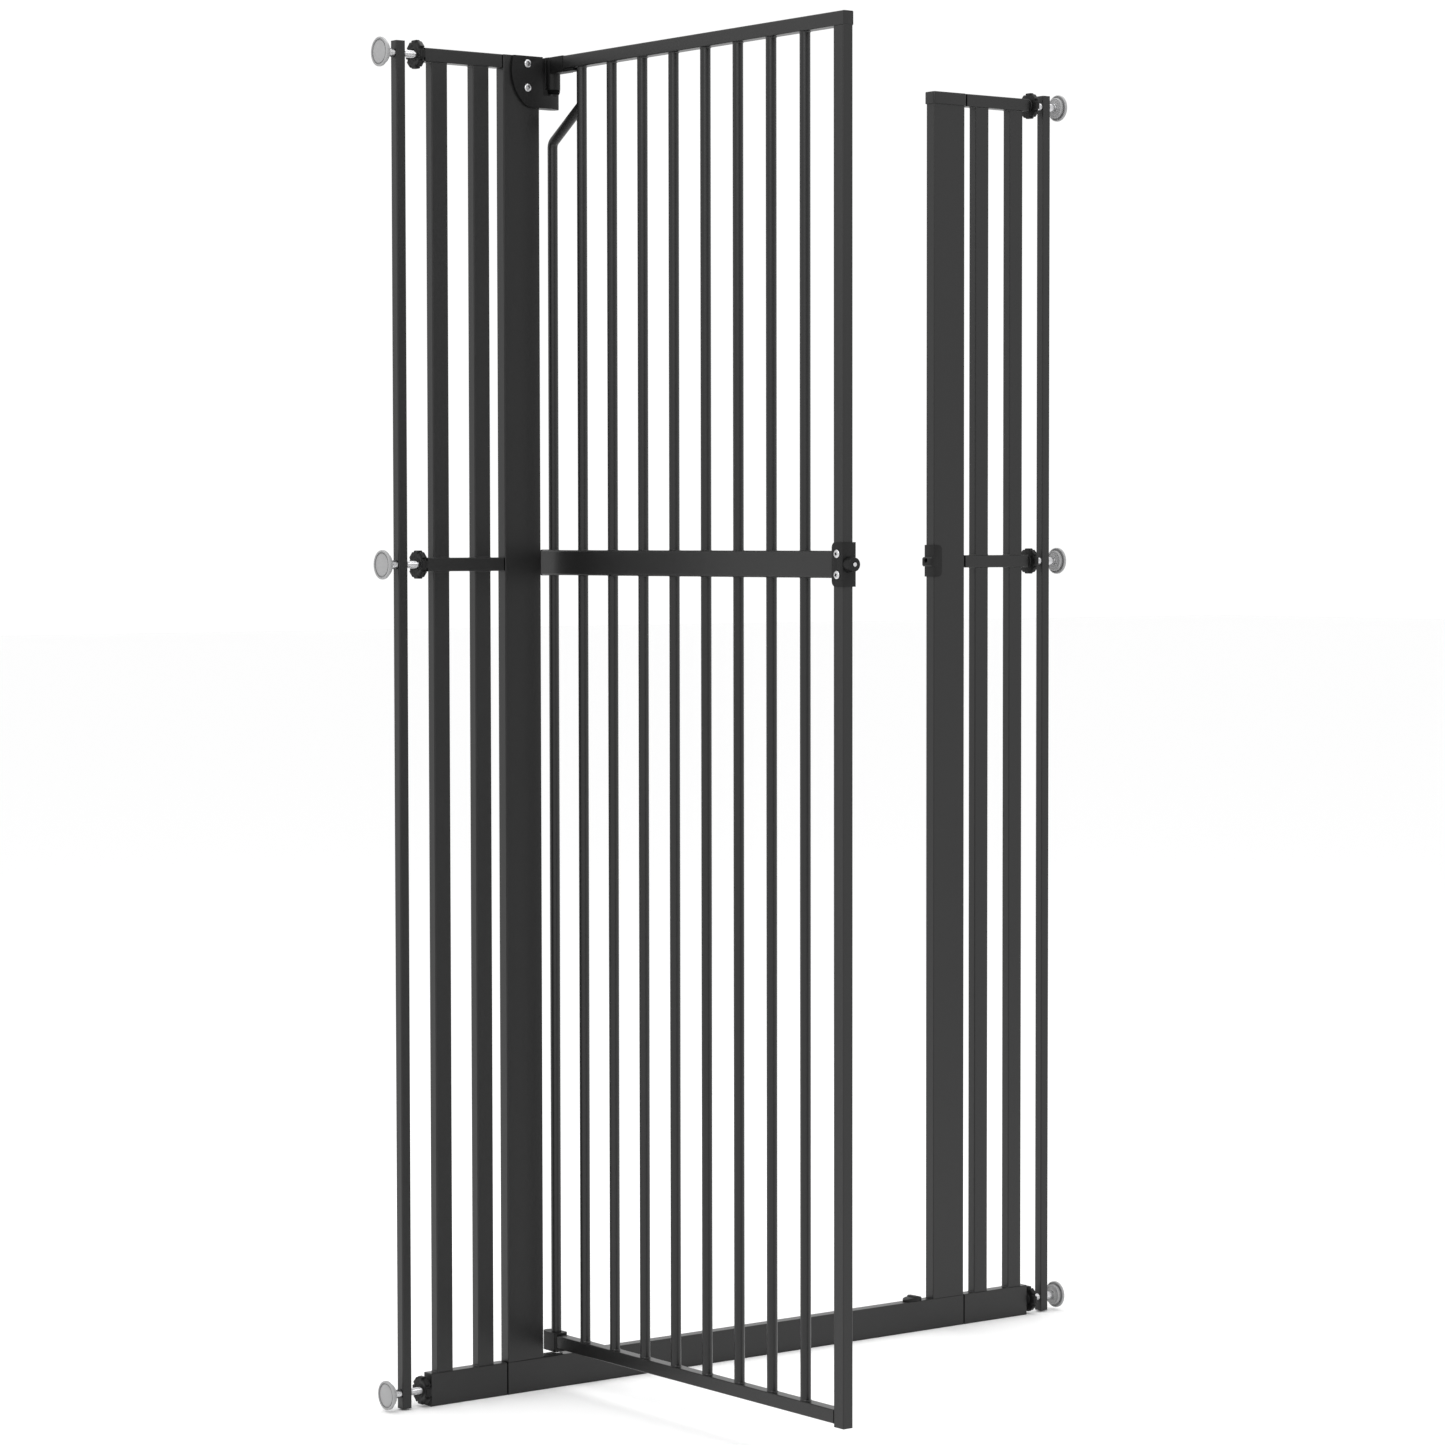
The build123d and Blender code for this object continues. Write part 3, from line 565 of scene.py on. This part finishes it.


# Hinge: a tapered washer between the bracket's shelf and the door's sleeve, near-black, put there as painted
# shade for the shadow under the sleeve

def add_painted_shade_washer():
    pin_low, pin_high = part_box("top_hinge_pin")
    centre = (pin_low + pin_high) / 2
    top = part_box("hinge_bush")[0].z - 0.8 * MM
    bore = 4.2 * MM
    bottom = -5.6 * MM
    profile = [(bore, bottom), (8.8 * MM, bottom), (9.6 * MM, -4.4 * MM), (10.2 * MM, -2.6 * MM)]
    profile += [(10.4 * MM, -0.6 * MM), (10.2 * MM, 0), (bore, 0), (bore, bottom)]
    shape = bmesh.new()
    add_lathe(shape, profile, Matrix.Translation((centre.x, centre.y, top)))
    mesh = to_mesh("hinge_painted_shade_washer", shape)
    washer = finish_piece("hinge_painted_shade_washer", mesh, "black_plastic", "frame")
    # Painted shade: the washer's near-black rubber stands in for the shadow under the sleeve
    washer.data.materials[0] = PAINTED_SHADE_RUBBER


# Latch bolt: a plain rod with a rounded tip

def add_bolt():
    low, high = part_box("latch_bolt")
    radius = (high.x - low.x) / 2
    length = high.y - low.y
    centre = (low + high) / 2
    matrix = axis_frame(Vector((centre.x, high.y, centre.z)), (0, -1, 0))
    nose = 0.9 * MM
    profile = [(0, 0), (radius, 0), (radius, length - nose)]
    profile += arc(nose, (radius - nose, length - nose), 0, 90, 5)
    profile += [(0, length)]
    shape = bmesh.new()
    add_lathe(shape, profile, matrix, 40)
    mesh = to_mesh("latch_bolt_pin", shape)
    finish_piece("latch_bolt_pin", mesh, "zinc_steel", "bolt", ("latch_bolt",))


# Weld beads where tubes meet

def add_bead(shape, outline, plane, size):
    """A small fillet that follows a closed outline of (x, y) points with outward (nx, ny) normals."""
    section = [(-0.3 * MM, 0.0), (size, -0.05 * MM), (size * 0.45, size * 0.18), (size * 0.18, size * 0.45),
               (-0.02 * MM, size), (-0.3 * MM, size)]
    rings = []
    for out, rise in section:
        rings.append([shape.verts.new(plane @ Vector((x + nx * out, y + ny * out, rise)))
                      for x, y, nx, ny in outline])
    join_rings(shape, rings + rings[:1])


def circle_outline(x, y, radius):
    steps = 28
    points = []
    for step in range(steps):
        angle = 2 * math.pi * step / steps
        nx, ny = math.cos(angle), math.sin(angle)
        points.append((x + radius * nx, y + radius * ny, nx, ny))
    return points


def rounded_outline(x, half_x, half_y, corner):
    """A rectangle with rounded corners, centred on (x, 0)."""
    steps = 5
    points = []
    for index, (sx, sy) in enumerate(((1, 1), (-1, 1), (-1, -1), (1, -1))):
        centre_x = x + sx * (half_x - corner)
        centre_y = sy * (half_y - corner)
        for step in range(steps + 1):
            angle = math.radians(90 * index + 90 * step / steps)
            nx, ny = math.cos(angle), math.sin(angle)
            points.append((centre_x + corner * nx, centre_y + corner * ny, nx, ny))
    return points


def level_plane(z, upward=True):
    """A horizontal plane at height z, in which a bead rises upwards or hangs downwards."""
    return Matrix.Translation((0, 0, z)) @ Matrix.Diagonal((1, 1, 1 if upward else -1, 1))


def add_door_beads():
    shape = bmesh.new()
    bars_low, bars_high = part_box("door_bars")
    strip_low, strip_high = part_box("door_mid_strip")
    x = (bars_low.x + bars_high.x) / 2
    radius = (bars_high.x - bars_low.x) / 2
    pitch = (bars_high.y - bars_low.y - 2 * radius) / (STRAIGHT_DOOR_BARS - 1)
    for index in range(STRAIGHT_DOOR_BARS + 1):
        y = bars_high.y - radius + pitch - pitch * index
        outline = circle_outline(x, y, radius)
        is_straight = index > 0
        if is_straight:
            add_bead(shape, outline, level_plane(bars_low.z), ROUND_BAR_BEAD)
            add_bead(shape, outline, level_plane(bars_high.z, False), ROUND_BAR_BEAD)
        add_bead(shape, outline, level_plane(strip_high.z), STRIP_BEAD)
        add_bead(shape, outline, level_plane(strip_low.z, False), STRIP_BEAD)
    name = "door_weld_beads"
    finish_piece(name, to_mesh(name, shape), "black_coat", "door", smooth_angle=60.0)


def add_extension_beads(side):
    shape = bmesh.new()
    low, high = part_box(f"{side}_extension_bars")
    mid_low, mid_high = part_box(f"{side}_extension_middle_rail")
    half_x = FLAT_BAR_WIDTH / 2
    half_y = (high.y - low.y) / 2
    for x in (low.x + half_x, high.x - half_x):
        outline = rounded_outline(x, half_x, half_y, FLAT_BAR_CORNER)
        for z, upward in ((low.z, True), (high.z, False), (mid_high.z, True), (mid_low.z, False)):
            add_bead(shape, outline, level_plane(z, upward), FLAT_BAR_BEAD)
    name = f"{side}_extension_weld_beads"
    finish_piece(name, to_mesh(name, shape), "black_coat", "frame", smooth_angle=60.0)


# Floor and light

def add_floor():
    size = 40.0
    mesh = bpy.data.meshes.new("floor")
    corners = [(-size, -size, 0), (size, -size, 0), (size, size, 0), (-size, size, 0)]
    mesh.from_pydata(corners, [], [(0, 1, 2, 3)])
    floor = bpy.data.objects.new("floor", mesh)
    material, _, _, shader = new_material("pale_floor")
    shader.inputs["Base Color"].default_value = (*FLOOR_COLOUR, 1)
    shader.inputs["Roughness"].default_value = 0.9
    shader.inputs["Specular IOR Level"].default_value = 0.1
    mesh.materials.append(material)
    bpy.context.scene.collection.objects.link(floor)


def add_softbox(name, place, target, size, power):
    data = bpy.data.lights.new(name, "AREA")
    data.shape = "RECTANGLE"
    data.size, data.size_y = size
    data.energy = power
    lamp = bpy.data.objects.new(name, data)
    lamp.location = place
    lamp.rotation_euler = (Vector(target) - Vector(place)).to_track_quat("-Z", "Y").to_euler()
    bpy.context.scene.collection.objects.link(lamp)


def add_lights():
    world = bpy.data.worlds.new("studio")
    world.use_nodes = True
    world.node_tree.nodes["Background"].inputs["Color"].default_value = (1, 1, 1, 1)
    world.node_tree.nodes["Background"].inputs["Strength"].default_value = 1.04
    bpy.context.scene.world = world
    gate_middle = (0, 0, 0.9)
    add_softbox("key_softbox", (-3.2, -2.6, 3.6), gate_middle, size=(1.6, 2.4), power=60)
    add_softbox("top_softbox", (0.4, 0.6, 4.2), gate_middle, size=(3.0, 3.0), power=60)
    bpy.context.scene.view_settings.view_transform = "Standard"


def main():
    add_camera()
    dress_cad_nodes()
    mouldings = {
        "frame": ("left_post_plug", "top_hinge_bracket", "bottom_hinge_plate", "latch_receiver",
                  "stop_clip"),
        "door": ("door_hinge_elbow", "door_bottom_shoe", "door_mid_strip_cap", "latch_housing",
                 "latch_barrel"),
        "bolt": ("latch_thumb_slide",),
        "left_bar": ("left_wall_bar_plugs",),
        "right_bar": ("right_wall_bar_plugs",),
    }
    for body, nodes in mouldings.items():
        for node in nodes:
            add_moulding(node, "black_plastic", body)
    add_moulding("door_end_plugs", "black_coat", "door")
    add_moulding("right_post_cap", "black_coat", "frame")
    for side in SIDES:
        for level in LEVELS:
            add_spindle(side, level)
            add_knob(side, level)
            add_cup(side, level)
            add_ferrule(side, level)
        add_extension_beads(side)
    add_screws("hinge_screw_heads", "top_hinge_screws", (0, -1, 0), "frame", HINGE_CROSS)
    add_screws("latch_screw_heads", "latch_housing_screws", (-1, 0, 0), "door", LATCH_CROSS)
    add_painted_shade_washer()
    add_bolt()
    add_door_beads()
    add_floor()
    add_lights()


main()
